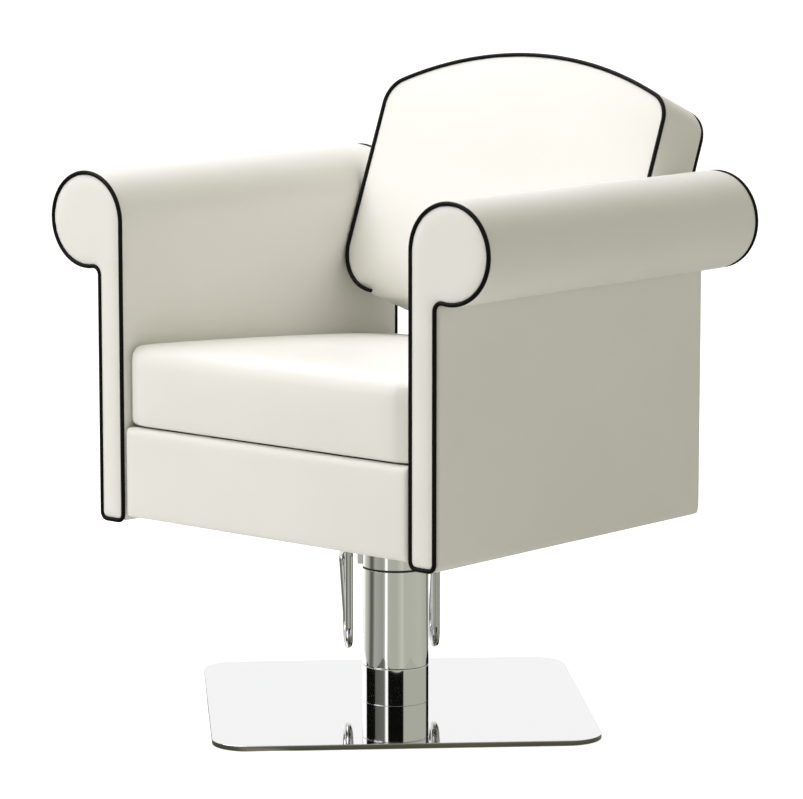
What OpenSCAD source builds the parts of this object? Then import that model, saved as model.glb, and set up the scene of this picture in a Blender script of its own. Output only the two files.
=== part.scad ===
// Hydraulic styling chair: square base plate, telescopic column with two
// hand levers, swivelling upholstered tub with rolled arms and a raked back.
// The base and the levers stand turned by base_turn under the seat.

/* [Base] */
// Side of the square base plate
plate_side = 540; // [460:5:600]
// Corner radius of the base plate
plate_corner = 50; // [20:5:90]
// Thickness of the base plate
plate_t = 7.5; // [6:0.5:12]
// Thickness of the rubber sheet under the plate
pad_t = 1.5; // [1:0.5:3]
// Turn of the base and levers against the seat, degrees
base_turn = 45; // [0:5:90]

/* [Column] */
// Outer radius of the chromed column
column_r = 47.7; // [44:0.1:55]
// Top of the fixed collar
collar_top = 62; // [50:1:80]
// Top of the rising sleeve
sleeve_top = 203; // [190:1:215]
// Top of the pump head
head_top = 262; // [258:0.5:264]

/* [Levers] */
// Distance of each lever from the middle of the cross shaft
lever_x = 63; // [60:1:75]
// Distance of the cross shaft behind the column axis
shaft_y = 60; // [58:1:70]
// Height of the cross shaft
shaft_z = 235; // [230:1:240]
// Radius of the lever rod
lever_rod_r = 6; // [4:0.5:8]
// Height of the centre of the lever's lower bend
loop_z = 103; // [95:1:140]
// Centre radius of the lever's lower bend
loop_r = 32; // [24:1:36]

/* [Arms] */
// Half the clear width between the arms
arm_in = 265; // [240:1:290]
// Radius of the rolled arm top
roll_r = 69.5; // [50:0.5:80]
// Height of the roll's centre
roll_z = 701; // [660:1:740]
// Thickness of the arm panel
panel_w = 47.4; // [40:0.2:60]
// Underside of the arm
arm_bottom = 272.7; // [266:0.1:280]
// Front plane of the arms
arm_front = -283.8; // [-300:0.1:-270]
// Rear plane of the arms
arm_rear = 314; // [300:1:330]

/* [Back] */
// Lean of the back, degrees
back_lean = 21.8; // [10:0.1:28]
// Point on the back's front plane, distance behind the column axis
back_y = 193.3; // [180:0.1:210]
// Height of that point
back_z = 637.2; // [620:0.1:650]
// Half the width of the back
back_half = 264.2; // [240:0.1:264.5]
// Height of the arched top above that point, along the slope
back_rise = 307; // [250:1:340]
// Depth of the back's lower edge below that point, along the slope
back_drop = 75.5; // [60:0.5:90]
// Thickness of the back
back_t = 103; // [90:1:120]

/* [Seat] */
// Underside of the seat cushion
cushion_bottom = 413.5; // [410:0.5:420]
// Top of the cushion at its front edge
cushion_front_top = 527; // [500:1:560]
// Top of the cushion at its rear edge
cushion_rear_top = 490; // [470:1:520]
// Underside of the front and rear aprons
apron_bottom = 282; // [276:1:288]

/* [Trim] */
// Radius of the black piping
piping_r = 3.1; // [2:0.1:4]
// Thickness of the padding and cover round the arm's core
cover_t = 12; // [8:1:16]

/* [Hidden] */
$fn = 96;
eps = 0.3;
plate_top = pad_t + plate_t;
seam_h = 3;
tube_r = 44;
tube_wall = 6;
tube_top = 248;
bush_r = 46;
foot_r = 45.4;
foot_h = 10;
foot_pcd_r = 34;
barrel_r = 28;
barrel_bore_r = 22;
ram_r = 14;
piston_bottom = 186;
piston_top = 200;
pin_r = 15;
fit = 0.05;
cavity_top = 252;
lug_in = 42;
lug_out = 54;
hub_len = 16;
hub_r = 11;
shaft_r = 6;
plunger_r = 3.5;
plunger_y = 42;
finger_t = 8;
brake_y = 78;
brake_r = 4;
disc_bottom = 268;
disc_t = 5;
disc_r = 115;
hub_bottom = 266;
frame_bottom = 288;
frame_top = 408;
frame_half = 264.4;
frame_front = -262;
frame_rear = 287;
rail_t = 25;
side_rail_t = 30;
mount_half = 130;
bar_y = 90;
bolt_r = 4;
bracket_x = 150;
bracket_t = 8;
bracket_w = 40;
bracket_y = frame_rear + 0.2 + bracket_t / 2;
board_w0 = 60;
board_w1 = 78;
roll_x = arm_in + roll_r;
panel_x = arm_in + panel_w;
edge = 2 * piping_r + 0.1;
arm_bolt_y = [-170, 0, 190];
arm_bolt_z = 340;
back_corner = 45;
arch_r = 600;
low_corner = 75;

// ---- shared shapes ----

// Points along an arc about c, from angle a0 to a1
function arc(c, r, a0, a1, n) =
    [for (i = [0 : n]) c + r * [cos(a0 + (a1 - a0) * i / n), sin(a0 + (a1 - a0) * i / n)]];

// Ring with a square section, from z0 to z1
module ring(r_in, r_out, z0, z1) {
    translate([0, 0, z0]) difference() {
        cylinder(h = z1 - z0, r = r_out);
        translate([0, 0, -1]) cylinder(h = z1 - z0 + 2, r = r_in);
    }
}

module disc(r, z0, z1) {
    translate([0, 0, z0]) cylinder(h = z1 - z0, r = r);
}

// Hexagonal head, across = width over the flats
module hex_head(across, h) {
    cylinder(h = h, r = across / sqrt(3), $fn = 6);
}

// Drawing of the XZ plane pushed back from y0 to y1
module from_y(y0, y1) {
    translate([0, y1, 0]) rotate([90, 0, 0]) linear_extrude(y1 - y0) children();
}

// Box given by two corners
module box(a, b) {
    translate(a) cube(b - a);
}

// Square with round corners, centred
module round_square(side, r) {
    h = side / 2 - r;
    polygon(concat(arc([h, h], r, 0, 90, 12), arc([-h, h], r, 90, 180, 12),
        arc([-h, -h], r, 180, 270, 12), arc([h, -h], r, 270, 360, 12)));
}

// Rounded panel seen from the front
module round_panel(half, z0, z1, r) {
    polygon(concat(arc([half - r, z1 - r], r, 0, 90, 6), arc([r - half, z1 - r], r, 90, 180, 6),
        arc([r - half, z0 + r], r, 180, 270, 6), arc([half - r, z0 + r], r, 270, 360, 6)));
}

module turned() {
    rotate([0, 0, base_turn]) children();
}

// The left arm is the right one mirrored
module side(s) {
    if (s > 0) children();
    else mirror([1, 0, 0]) children();
}

// ---- base ----

module base_pad() {
    color("dimgray") turned()
        linear_extrude(pad_t) round_square(plate_side - 12, plate_corner - 6);
}

module screw_places(r) {
    for (a = [45 : 90 : 315]) rotate([0, 0, a]) translate([r, 0, 0]) children();
}

// Countersunk screw, head down, from the underside of the plate into the foot
module countersunk(d) {
    translate([0, 0, pad_t]) cylinder(h = 4, r1 = 7.5 + d, r2 = bolt_r + d);
    translate([0, 0, pad_t + 3.9]) cylinder(h = plate_t + foot_h - 7, r = bolt_r + d);
}

module base_plate() {
    color("gainsboro") turned() difference() {
        translate([0, 0, pad_t]) linear_extrude(plate_t) round_square(plate_side, plate_corner);
        screw_places(foot_pcd_r) countersunk(fit);
    }
}

module base_screws() {
    color("silver") turned() screw_places(foot_pcd_r) countersunk(0);
}

module base_collar() {
    color("whitesmoke") ring(bush_r, column_r, plate_top, collar_top);
}

module guide_tube() {
    color("silver") turned() difference() {
        union() {
            disc(foot_r, plate_top, plate_top + foot_h);
            disc(tube_r, plate_top, tube_top);
        }
        disc(tube_r - tube_wall, plate_top + foot_h, tube_top + 1);
        disc(ram_r, plate_top - 1, plate_top + foot_h + 1);
        screw_places(foot_pcd_r) countersunk(fit);
    }
}

module ram() {
    color("silver") disc(ram_r, plate_top, piston_bottom);
}

module ram_piston() {
    color("slategray") difference() {
        disc(barrel_bore_r - fit, piston_bottom, piston_top);
        ring(barrel_bore_r - 3, barrel_r, piston_bottom + 5, piston_bottom + 9);
    }
}

module piston_seal() {
    color("black") ring(barrel_bore_r - 3, barrel_bore_r - fit, piston_bottom + 5, piston_bottom + 9);
}

// ---- rising column ----

module lift_sleeve() {
    color("whitesmoke") ring(bush_r, column_r, collar_top + 0.6, sleeve_top);
}

module guide_bushes() {
    color("ivory") for (z = [68, 96]) ring(tube_r + fit, bush_r, z, z + 18);
}

module wiper_ring() {
    color("black") ring(tube_r + fit, bush_r, collar_top + 0.9, collar_top + 4);
}

module seam_ring() {
    color("black") ring(tube_r + 1, column_r - 0.8, sleeve_top, sleeve_top + seam_h);
}

module oil_barrel() {
    color("slategray") ring(barrel_bore_r, barrel_r, 30, cavity_top);
}

module gland_nut() {
    color("goldenrod") difference() {
        union() {
            disc(barrel_r + 2, 20, 30);
            disc(barrel_bore_r, 30, 38);
        }
        disc(ram_r + fit, 19, 39);
    }
}

// Lugs for the cross shaft, side bosses for the plunger and the brake pin
module pump_head() {
    lug_r = 12;
    boss_top = 219;
    color("whitesmoke") turned() difference() {
        union() {
            disc(column_r, sleeve_top + seam_h, head_top);
            for (s = [-1, 1]) {
                box([s > 0 ? lug_in : -lug_out, 8, sleeve_top + seam_h],
                    [s > 0 ? lug_out : -lug_in, shaft_y, shaft_z + lug_r]);
                translate([s > 0 ? lug_in : -lug_out, shaft_y, shaft_z]) rotate([0, 90, 0])
                    cylinder(h = lug_out - lug_in, r = lug_r);
            }
            box([lug_out - 1, plunger_y - 8, sleeve_top + seam_h],
                [lever_x + 8, plunger_y + 7, boss_top]);
            box([-lug_out, shaft_y - 6, shaft_z + 10], [-lug_in, brake_y + 8, head_top - 4]);
            box([-lever_x - 8, brake_y - 8, shaft_z + 14], [-lug_out + 1, brake_y + 8, head_top - 4]);
        }
        disc(bush_r, sleeve_top, cavity_top);
        disc(pin_r, cavity_top - 1, head_top + 1);
        translate([-lug_out - 1, shaft_y, shaft_z]) rotate([0, 90, 0])
            cylinder(h = 2 * lug_out + 2, r = shaft_r);
        translate([lever_x, plunger_y, sleeve_top]) cylinder(h = 20, r = plunger_r + fit);
        translate([-lever_x, brake_y, shaft_z]) cylinder(h = 30, r = brake_r + fit);
    }
}

module kingpin() {
    color("silver") union() {
        disc(barrel_bore_r, cavity_top - 12, cavity_top);
        disc(pin_r, cavity_top - 1, 304);
    }
}

module kingpin_nut() {
    color("silver") difference() {
        union() {
            disc(27, frame_bottom + 0.4, frame_bottom + 3);
            translate([0, 0, frame_bottom + 3]) hex_head(46, 12);
        }
        disc(pin_r, frame_bottom, frame_bottom + 20);
    }
}

module thrust_washer() {
    color("goldenrod") ring(pin_r, 34, head_top, hub_bottom - 0.2);
}

module lever_shaft() {
    color("silver") turned() translate([-75, shaft_y, shaft_z]) rotate([0, 90, 0])
        difference() {
            cylinder(h = 150, r = shaft_r);
            for (z = [1.5, 147.1]) ring(shaft_r - 1, shaft_r + 1, z, z + 1.4);
        }
}

module shaft_clips() {
    color("silver") turned() for (x = [-73.5, 72.1])
        translate([x, shaft_y, shaft_z]) rotate([0, 90, 0])
            rotate_extrude(angle = 290) translate([shaft_r - 1, 0]) square([4.5, 1.4]);
}

// Coils of the return springs beside the lugs
module lever_springs() {
    wire_r = 1.1;
    color("dimgray") turned() for (s = [-1, 1]) for (i = [0 : 4])
        translate([s * (lug_in - 2 - i * 2 * wire_r), shaft_y, shaft_z]) rotate([0, 90, 0])
            rotate_extrude() translate([shaft_r + wire_r + 0.2, 0]) circle(r = wire_r + 0.05, $fn = 24);
}

// ---- levers ----

// Middle line of the rod, from the hub down, round the lower bend and back up to the hub
function lever_path(s) =
    let (far_y = shaft_y + 2 * loop_r, lean = 6.6, close = 62.1, bend = 14, sunk = hub_r - 2.5,
        knee = [far_y + 9.5 - bend * cos(lean), loop_z + 83 + bend * sin(lean)],
        splay = s * 5,
        turn = arc([shaft_y + loop_r, loop_z], loop_r, 180, 360, 16),
        up = arc(knee, bend, -lean, close, 6))
    concat([for (z = [shaft_z - sunk, loop_z + 40]) [s * lever_x, shaft_y, z]],
        [for (p = turn) [s * lever_x, p.x, p.y]],
        [for (p = up) [s * lever_x + splay, p.x, p.y]],
        [[s * lever_x, shaft_y + sunk * sin(close), shaft_z - sunk * cos(close)]]);

// Round bar swept along a line that stays close to a plane of constant x
module swept_rod(points, r) {
    sides = 12;
    last = len(points) - 1;
    rings = [for (i = [0 : last])
        let (t = points[min(i + 1, last)] - points[max(i - 1, 0)],
            u = cross(t, [1, 0, 0]) / norm(cross(t, [1, 0, 0])), v = cross(t, u) / norm(t))
        for (k = [0 : sides - 1]) points[i] + r * (cos(k * 360 / sides) * u + sin(k * 360 / sides) * v)];
    walls = [for (i = [0 : last - 1]) for (k = [0 : sides - 1])
        let (j = (k + 1) % sides, a = i * sides, b = a + sides)
        for (face = [[a + j, a + k, b + k], [a + j, b + k, b + j]]) face];
    polyhedron(rings, concat(walls, [[for (k = [0 : sides - 1]) k]],
        [[for (k = [sides - 1 : -1 : 0]) last * sides + k]]));
}

// Rod loop hanging from a hub, s = 1 right, -1 left. A block holds the rod's two ends:
// block_y = its depth and block_z = its underside; children are cut by the bore too
module lever(s, block_y, block_z) {
    turned() difference() {
        union() {
            translate([s * lever_x - hub_len / 2, shaft_y, shaft_z]) rotate([0, 90, 0])
                cylinder(h = hub_len, r = hub_r);
            swept_rod(lever_path(s), lever_rod_r);
            box([s * lever_x - 7, shaft_y - 8, block_z], [s * lever_x + 7, block_y, shaft_z + finger_t / 2]);
            children();
        }
        translate([s * lever_x - hub_len, shaft_y, shaft_z]) rotate([0, 90, 0])
            cylinder(h = 2 * hub_len, r = shaft_r + fit);
    }
}

// Its finger points at the column and presses the plunger down
module pump_lever() {
    color("whitesmoke") lever(1, shaft_y + 8, shaft_z - 13)
        box([lever_x - 4, plunger_y - 4, shaft_z - finger_t / 2], [lever_x + 4, shaft_y - 7, shaft_z + finger_t / 2]);
}

// Its block points away from the column and lifts the brake pin
module lock_lever() {
    color("whitesmoke") lever(-1, brake_y + 4, shaft_z - 21);
}

module pump_plunger() {
    color("silver") turned() translate([lever_x, plunger_y, 200])
        cylinder(h = shaft_z - finger_t / 2 - eps - 200, r = plunger_r);
}

module brake_pin() {
    color("silver") turned() translate([-lever_x, brake_y, shaft_z + finger_t / 2 + eps])
        cylinder(h = 19.7, r = brake_r);
}

module brake_pad() {
    color("black") turned() translate([-lever_x, brake_y, shaft_z + finger_t / 2 + eps + 19.7])
        cylinder(h = 3.2, r = 8);
}

// ---- seat structure ----

module swivel_disc() {
    color("silver") difference() {
        union() {
            disc(30, hub_bottom, frame_bottom);
            disc(disc_r, disc_bottom, disc_bottom + disc_t);
        }
        disc(pin_r + fit, hub_bottom - 1, frame_bottom + 1);
    }
}

module mount_bolt_places() {
    for (x = [-105, 105]) for (y = [-bar_y, bar_y]) translate([x, y, 0]) children();
}

module mount_plate() {
    color("dimgray") difference() {
        box([-mount_half, -mount_half, frame_bottom - 5], [mount_half, mount_half, frame_bottom]);
        disc(30, frame_bottom - 6, frame_bottom + 1);
        mount_bolt_places() disc(bolt_r + fit, frame_bottom - 6, frame_bottom + 1);
    }
}

module mount_bolts() {
    color("silver") mount_bolt_places() {
        translate([0, 0, frame_bottom - 10.5]) hex_head(13, 5.5);
        disc(bolt_r, frame_bottom - 5.1, frame_bottom + 16);
    }
}

module cross_bars() {
    color("burlywood") difference() {
        for (y = [-bar_y, bar_y])
            box([side_rail_t - frame_half, y - 25, frame_bottom],
                [frame_half - side_rail_t, y + 25, frame_bottom + 22]);
        mount_bolt_places() disc(bolt_r + fit, frame_bottom - 1, frame_bottom + 16);
    }
}

// Bolt along X through a side rail into the arm core
module arm_bolt(x_head, x_end, r) {
    for (y = arm_bolt_y) translate([x_head, y, arm_bolt_z]) rotate([0, 90, 0])
        cylinder(h = x_end - x_head, r = r);
}

// Hardwood box with a triangular block in each corner
module seat_frame() {
    inner = frame_half - side_rail_t;
    front = frame_front + rail_t;
    rear = frame_rear - rail_t;
    color("burlywood") difference() {
        box([-frame_half, frame_front, frame_bottom], [frame_half, frame_rear, frame_top]);
        difference() {
            box([-inner, front, frame_bottom - 1], [inner, rear, frame_top + 1]);
            for (s = [-1, 1])
                for (y = [front, rear]) translate([s * inner, y, frame_bottom + 30]) rotate([0, 0, 45])
                    translate([-35, -35, 0]) cube([70, 70, 60]);
        }
        for (s = [-1, 1]) side(s) arm_bolt(inner - 1, frame_half + 1, bolt_r + fit);
        back_rail_bolts(bolt_r + fit);
    }
}

// Two layers of elastic straps over the frame
module webbing() {
    strap = 60;
    t = 1.6;
    z = frame_top + 0.2;
    color("dimgray") {
        for (i = [-2 : 2]) box([i * 88 - strap / 2, frame_front + 6, z],
            [i * 88 + strap / 2, frame_rear - 6, z + t]);
        for (i = [-2 : 2]) box([6 - frame_half, i * 96 - strap / 2, z + t + 0.2],
            [frame_half - 6, i * 96 + strap / 2, z + 2 * t + 0.2]);
    }
}

// Thin pale cloth under the frame, cut out round the mounting plate
module dust_cover() {
    color("beige") difference() {
        box([6 - frame_half, frame_front + 6, frame_bottom - 1.2], [frame_half - 6, frame_rear - 6, frame_bottom]);
        box([-mount_half - 2, -mount_half - 2, frame_bottom - 2], [mount_half + 2, mount_half + 2, frame_bottom + 1]);
    }
}

module front_apron() {
    color("ivory") from_y(arm_front + 1.8, frame_front - 0.2)
        round_panel(frame_half, apron_bottom, cushion_bottom - 2, 8);
}

module rear_apron() {
    color("ivory") from_y(bracket_y + bracket_t / 2 + 0.3, arm_rear - 1)
        round_panel(frame_half, apron_bottom, cushion_rear_top - 4, 8);
}

// Side view of the cushion, pushed across between the arms
module seat_cushion() {
    half = arm_in - 0.8;
    front = arm_front + 3.8;
    rear = frame_rear - 3;
    r = 24;
    color("ivory") intersection() {
        translate([-half, 0, 0]) rotate([90, 0, 90]) linear_extrude(2 * half)
            polygon(concat([[rear - 10, cushion_bottom], [rear, cushion_bottom + 14]],
                [[rear, cushion_rear_top - 16], [rear - 12, cushion_rear_top]],
                arc([front + r, cushion_front_top - r], r, 90, 180, 8),
                arc([front + 10, cushion_bottom + 10], 10, 180, 270, 4)));
        from_y(front - 1, rear + 1) round_panel(half, cushion_bottom - 1, cushion_front_top + 1, 12);
    }
}

// ---- arms ----

// Points of an arm's outline seen from the front, drawn in by d
function arm_points(d) =
    let (r = roll_r - d, neck = 9 + d, low = 13 - min(d, 9),
        xo = panel_x - d, xi = arm_in + d, zb = arm_bottom + d,
        zn = roll_z - sqrt(pow(r + neck, 2) - pow(roll_x - xo - neck, 2)),
        turn = atan2(zn - roll_z, xo + neck - roll_x))
    concat(arc([roll_x, roll_z], r, 180, turn, 40),
        arc([xo + neck, zn], neck, turn + 180, 180, 5),
        arc([xo - low, zb + low], low, 0, -90, 5),
        arc([xi + low, zb + low], low, -90, -180, 5));

module arm_outline(d) {
    polygon(arm_points(d));
}

module arm_core(s) {
    color("burlywood") side(s) difference() {
        from_y(arm_front + edge + 2, arm_rear - edge - 2) arm_outline(cover_t);
        arm_bolt(arm_in - 1, arm_in + 36, bolt_r + fit);
    }
}

module arm_cover(s) {
    color("ivory") side(s) difference() {
        from_y(arm_front + edge, arm_rear - edge) arm_outline(0);
        from_y(arm_front + edge - 1, arm_rear - edge + 1) arm_outline(cover_t);
        arm_bolt(arm_in - 1, arm_in + 30, bolt_r + fit);
    }
}

module front_facing(s) {
    color("ivory") side(s) from_y(arm_front + 0.6, arm_front + edge - 0.1) arm_outline(edge);
}

module rear_facing(s) {
    color("ivory") side(s) from_y(arm_rear - edge + 0.1, arm_rear - 0.6) arm_outline(edge);
}

// Round piping swept along points of the plane y; closed = joined end to end
module piping(points, y, closed) {
    sides = 8;
    last = len(points) - 1;
    function before(i) = points[i > 0 ? i - 1 : closed ? last : 0];
    function after(i) = points[i < last ? i + 1 : closed ? 0 : last];
    rings = [for (i = [0 : last]) let (t = after(i) - before(i), n = [t.y, -t.x] / norm(t))
        for (k = [0 : sides - 1]) let (a = (k + 0.5) * 360 / sides, p = points[i] + piping_r * cos(a) * n)
            [p.x, y + piping_r * sin(a), p.y]];
    function corner(i, k) = (i % (last + 1)) * sides + k % sides;
    walls = [for (i = [0 : closed ? last : last - 1]) for (k = [0 : sides - 1])
        [corner(i, k), corner(i, k + 1), corner(i + 1, k + 1), corner(i + 1, k)]];
    ends = closed ? [] : [[for (k = [sides - 1 : -1 : 0]) corner(0, k)],
        [for (k = [0 : sides - 1]) corner(last, k)]];
    polyhedron(rings, concat(walls, ends));
}

// Round the roll, down both edges and under the panel
module front_piping(s) {
    color("black") side(s) piping(arm_points(piping_r), arm_front + piping_r, true);
}

// Round the roll's rear end and down the inner edge
module rear_piping(s) {
    color("black") side(s)
        piping(concat(arc([roll_x, roll_z], roll_r - piping_r, -104, 180, 40),
            [[arm_in + piping_r, arm_bottom + piping_r]]), arm_rear - piping_r, false);
}

module arm_bolts() {
    inner = frame_half - side_rail_t;
    color("silver") for (s = [-1, 1]) side(s) {
        arm_bolt(inner - 0.1, arm_in + 35, bolt_r);
        for (y = arm_bolt_y) translate([inner - 5.6, y, arm_bolt_z]) rotate([0, 90, 0]) hex_head(13, 5.5);
    }
}

// ---- back ----

// Places the back: x across, y up the slope, z rearwards from the front plane
module on_back(w) {
    translate([0, back_y, back_z]) rotate([90 - back_lean, 0, 0]) translate([0, 0, -w]) children();
}

// Right half of the back's outline drawn in by d, from its lower edge to the arched top
function half_back(d, first) =
    let (h = back_half - d, c = back_corner - d, low = low_corner - d, big = arch_r - d,
        zc = back_rise - arch_r, vc = zc + sqrt(pow(big - c, 2) - pow(h - c, 2)),
        turn = atan2(vc - zc, h - c), vl = low_corner - back_drop)
    concat(arc([h - low, vl], low, first, 360, 10), arc([h - c, vc], c, 0, turn, 8),
        [for (i = [1 : 11]) [0, zc] + big * [cos(turn + (90 - turn) * i / 11), sin(turn + (90 - turn) * i / 11)]]);

// Whole outline, left half mirrored; first = where the lower corners start
function back_points(d, first) =
    let (right = half_back(d, first), n = len(right))
    concat(right, [for (i = [n - 2 : -1 : 0]) [-right[i].x, right[i].y]]);

module back_slab(w0, w1, d) {
    on_back(w1) linear_extrude(w1 - w0) polygon(back_points(d, 270));
}

module back_pad() {
    color("ivory") union() {
        back_slab(0.4, edge, edge);
        back_slab(edge, board_w0, 0);
    }
}

module back_board() {
    color("burlywood") difference() {
        back_slab(board_w0, board_w1, 8);
        board_bolts(bolt_r + fit);
        board_bolt_heads(10);
    }
}

// Rear half of the back: a padded tray that holds the board, channelled for the brackets
module back_shell() {
    color("ivory") difference() {
        union() {
            back_slab(board_w0 + 0.1, back_t - edge, 0);
            back_slab(back_t - edge, back_t - 0.4, edge);
        }
        back_slab(board_w0 - 1, board_w1, 8);
        for (s = [-1, 1]) on_back(board_w1 + bracket_t + 0.4)
            translate([s * bracket_x - bracket_w / 2 - eps, -120, 0])
                cube([bracket_w + 2 * eps, 245, bracket_t + 0.5]);
    }
}

// Piping round the back at depth w
module back_piping(w, first, closed) {
    on_back(w) rotate([-90, 0, 0]) piping(back_points(piping_r, first), 0, closed);
}

// Open along the lower edge, where the pad rolls under
module back_front_piping() {
    color("black") back_piping(piping_r, 274, false);
}

module back_rear_piping() {
    color("black") back_piping(back_t - piping_r, 270, true);
}

// Outline of a bar of thickness t along a bent line, with mitred corners
function bent_bar(path, t) =
    let (last = len(path) - 1,
        dirs = [for (i = [0 : last - 1]) (path[i + 1] - path[i]) / norm(path[i + 1] - path[i])],
        mitres = [for (i = [0 : last]) let (a = dirs[max(i - 1, 0)], b = dirs[min(i, last - 1)],
            n = [-a.y - b.y, a.x + b.x]) n / (1 + a * b)])
    concat([for (i = [0 : last]) path[i] + mitres[i] * t / 2],
        [for (i = [last : -1 : 0]) path[i] - mitres[i] * t / 2]);

// Flat steel bars bolted to the rear rail, cranked forward and up behind the board
module back_brackets() {
    w = board_w1 + bracket_t / 2 + 0.1;
    function at(v) = [back_y + v * sin(back_lean) + w * cos(back_lean),
        back_z + v * cos(back_lean) - w * sin(back_lean)];
    path = [[bracket_y, frame_bottom + 12], [bracket_y, 496], at(-95), at(120)];
    color("dimgray") difference() {
        for (s = [-1, 1]) translate([s * bracket_x - bracket_w / 2, 0, 0]) rotate([90, 0, 90])
            linear_extrude(bracket_w) polygon(bent_bar(path, bracket_t));
        back_rail_bolts(bolt_r + fit);
        board_bolts(bolt_r + fit);
    }
}

module back_rail_bolts(r) {
    for (x = [-bracket_x, bracket_x]) for (z = [330, 380])
        translate([x, bracket_y + bracket_t / 2 - 0.1, z]) rotate([90, 0, 0]) cylinder(h = 34, r = r);
}

module board_bolts(r) {
    for (x = [-bracket_x, bracket_x]) for (v = [0, 80])
        on_back(board_w1 + bracket_t) translate([x, v, 0]) cylinder(h = 23, r = r);
}

module board_bolt_heads(across) {
    for (x = [-bracket_x, bracket_x]) for (v = [0, 80])
        on_back(board_w0 + 4) translate([x, v, 0]) cylinder(h = 4.1, r = across);
}

module back_bolts() {
    color("silver") {
        back_rail_bolts(bolt_r);
        for (x = [-bracket_x, bracket_x]) for (z = [330, 380])
            translate([x, frame_rear - rail_t, z]) rotate([90, 0, 0]) hex_head(13, 5.5);
        board_bolts(bolt_r);
        for (x = [-bracket_x, bracket_x]) for (v = [0, 80])
            on_back(board_w0 + 4) translate([x, v, 0]) cylinder(h = 3.8, r = 8);
    }
}

base_pad();
base_plate();
base_screws();
base_collar();
guide_tube();
ram();
ram_piston();
piston_seal();
lift_sleeve();
guide_bushes();
wiper_ring();
seam_ring();
oil_barrel();
gland_nut();
pump_head();
kingpin();
kingpin_nut();
thrust_washer();
lever_shaft();
shaft_clips();
lever_springs();
pump_lever();
pump_plunger();
lock_lever();
brake_pin();
brake_pad();
swivel_disc();
mount_plate();
mount_bolts();
cross_bars();
seat_frame();
webbing();
dust_cover();
front_apron();
rear_apron();
seat_cushion();
arm_core(-1);  // arm_core_left
arm_core(1);  // arm_core_right
arm_cover(-1);  // arm_cover_left
arm_cover(1);  // arm_cover_right
front_facing(-1);  // front_facing_left
front_facing(1);  // front_facing_right
rear_facing(-1);  // rear_facing_left
rear_facing(1);  // rear_facing_right
front_piping(-1);  // front_piping_left
front_piping(1);  // front_piping_right
rear_piping(-1);  // rear_piping_left
rear_piping(1);  // rear_piping_right
arm_bolts();
back_board();
back_pad();
back_shell();
back_front_piping();
back_rear_piping();
back_brackets();
back_bolts();
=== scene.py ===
import math
import bpy
from mathutils import Matrix, Vector, kdtree, noise


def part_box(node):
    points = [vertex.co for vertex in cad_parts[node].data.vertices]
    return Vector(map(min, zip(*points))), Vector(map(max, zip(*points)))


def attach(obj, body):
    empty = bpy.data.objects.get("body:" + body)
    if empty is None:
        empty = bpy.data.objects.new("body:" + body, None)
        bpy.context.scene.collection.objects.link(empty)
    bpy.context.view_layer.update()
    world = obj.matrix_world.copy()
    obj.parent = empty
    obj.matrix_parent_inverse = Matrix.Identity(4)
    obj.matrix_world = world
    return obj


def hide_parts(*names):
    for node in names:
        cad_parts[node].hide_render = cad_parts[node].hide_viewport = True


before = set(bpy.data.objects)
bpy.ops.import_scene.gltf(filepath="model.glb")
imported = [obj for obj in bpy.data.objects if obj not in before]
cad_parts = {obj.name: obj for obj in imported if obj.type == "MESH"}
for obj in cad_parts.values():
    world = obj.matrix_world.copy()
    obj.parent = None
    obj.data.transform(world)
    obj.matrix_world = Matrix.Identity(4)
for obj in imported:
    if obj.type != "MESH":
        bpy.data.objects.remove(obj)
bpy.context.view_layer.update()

scene = bpy.context.scene


# ---- Camera ----
# A long lens from the front right of the chair, a little above the seat, so that
# the sides stay nearly parallel.
camera_turn = math.radians(40.73)
camera_tilt = math.radians(8.64)
camera_away = 5.5625
aim_height = 0.4446
aim_side = 0.0083
bpy.ops.object.camera_add()
camera = bpy.context.object
camera.name = "camera"
camera.data.lens = 175.5
camera.data.sensor_width = 36
camera.data.clip_end = 50
aim = Vector((aim_side * math.cos(camera_turn), aim_side * math.sin(camera_turn), aim_height))
toward = Vector((math.sin(camera_turn) * math.cos(camera_tilt),
                 -math.cos(camera_turn) * math.cos(camera_tilt), math.sin(camera_tilt)))
camera.location = aim + camera_away * toward
camera.rotation_euler = toward.to_track_quat("Z", "Y").to_euler()
scene.camera = camera


# ---- Studio: floor, softboxes and surround ----
# A wide white floor under a pale surround, lit by a large softbox over the front left and another
# overhead.
# Only polished steel sees the painted reflections: dark, pale and bright upright strips on floor and
# surround.
def blank_finish(name, colour, roughness, metallic=0.0):
    """A new material with its own shader; returns it, its nodes, its links and the shader."""
    material = bpy.data.materials.new(name)
    material.use_nodes = True
    tree = material.node_tree
    shader = tree.nodes["Principled BSDF"]
    shader.inputs["Base Color"].default_value = (*colour, 1)
    shader.inputs["Roughness"].default_value = roughness
    shader.inputs["Metallic"].default_value = metallic
    return material, tree.nodes, tree.links, shader


def wear(obj, material):
    """Puts one material on every slot of a piece."""
    obj.data.materials.clear()
    obj.data.materials.append(material)


def softbox(name, place, side, power, colour):
    """A square softbox turned towards the seat."""
    bpy.ops.object.light_add(type="AREA", location=place)
    lamp = bpy.context.object
    lamp.name = name
    lamp.data.shape = "RECTANGLE"
    lamp.data.size = lamp.data.size_y = side
    lamp.data.energy = power
    lamp.data.color = colour
    seat = Vector((0, 0, 0.5))
    lamp.rotation_euler = (seat - Vector(place)).to_track_quat("-Z", "Y").to_euler()


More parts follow.
